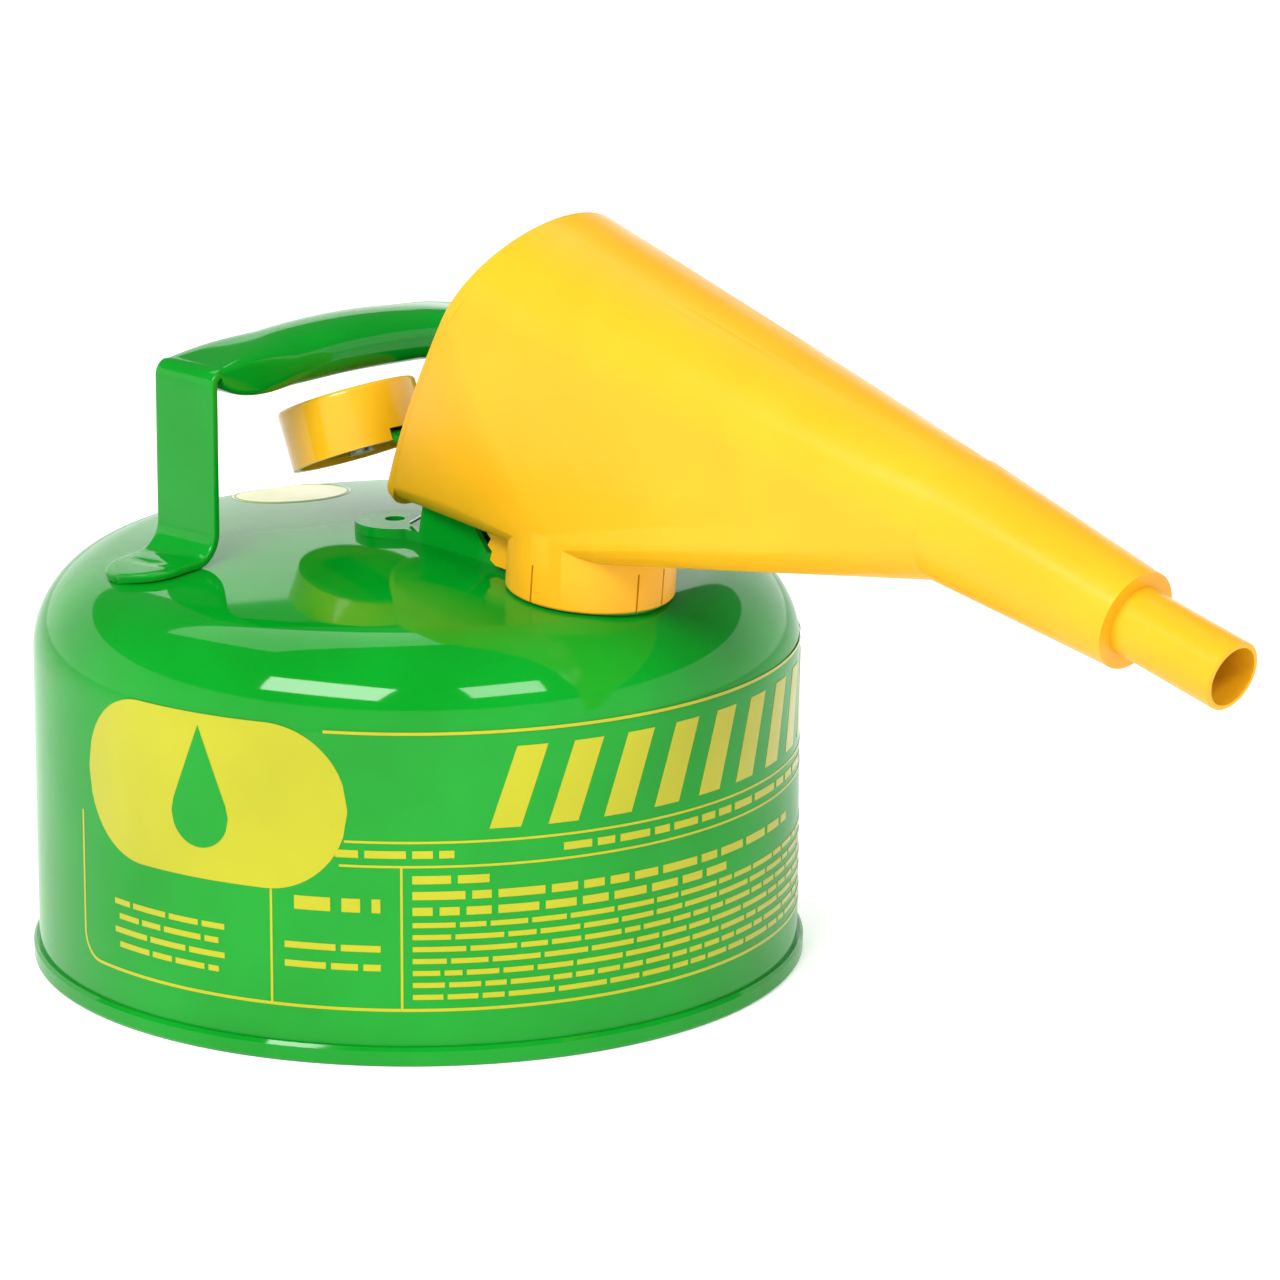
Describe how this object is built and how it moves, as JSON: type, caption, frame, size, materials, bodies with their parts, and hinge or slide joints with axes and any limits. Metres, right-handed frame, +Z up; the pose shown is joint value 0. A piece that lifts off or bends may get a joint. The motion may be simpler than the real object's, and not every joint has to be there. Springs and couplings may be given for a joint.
{
  "type": "safety gas can",
  "caption": "Round steel fuel can with a spring-closed lid on a thumb lever, a fixed bail handle, a flame arrester in the neck and a lift-off pouring funnel.",
  "frame": {"origin": "centre of the base, on the plane that the can stands on", "axes": "+X points the way the can pours, through the neck and funnel; +Z up; +Y along the handle's span"},
  "size_m": [0.4232, 0.2286, 0.2294],
  "materials": {
    "green_paint": "gloss",
    "yellow_plastic": "satin",
    "yellow_cap": "gloss",
    "zinc_steel": "satin",
    "spring_steel": "satin",
    "brass": "satin",
    "brass_mesh": "satin",
    "gasket_rubber": "matte",
    "label_vinyl": "satin",
    "print_ink": "gloss"
  },
  "bodies": {
    "can": {"can_body": "green_paint", "bottom_pan": "green_paint", "filler_neck": "green_paint", "arrester_collar": "brass", "arrester_mesh": "brass_mesh", "arrester_cap": "brass", "arrester_clip": "spring_steel", "hinge_bracket": "green_paint", "hinge_pin": "zinc_steel", "pin_clip": "spring_steel", "lid_spring": "spring_steel", "handle": "green_paint", "dome_label": "label_vinyl"},
    "lid_lever": {"lid": "zinc_steel", "lid_gasket": "gasket_rubber", "gasket_washer": "zinc_steel", "lid_rivet": "zinc_steel", "lid_lever": "green_paint", "thumb_cap": "yellow_cap", "thumb_cap_screw": "zinc_steel"},
    "funnel": {"funnel": "yellow_plastic"}
  },
  "joints": [
    {"name": "lid_hinge", "type": "hinge", "parent": "can", "child": "lid_lever", "pos_m": [0.017, 0, 0.143], "axis": [0, -1, 0], "range_deg": [0, 10], "stiffness_Nm_per_rad": 1.2, "springref_deg": -20.05, "deforming": ["lid_spring"]},
    {"name": "funnel_lift", "type": "slide", "parent": "can", "child": "funnel", "axis": [0.0872, 0, 0.9962], "range_m": [0, 0.007]}
  ]
}
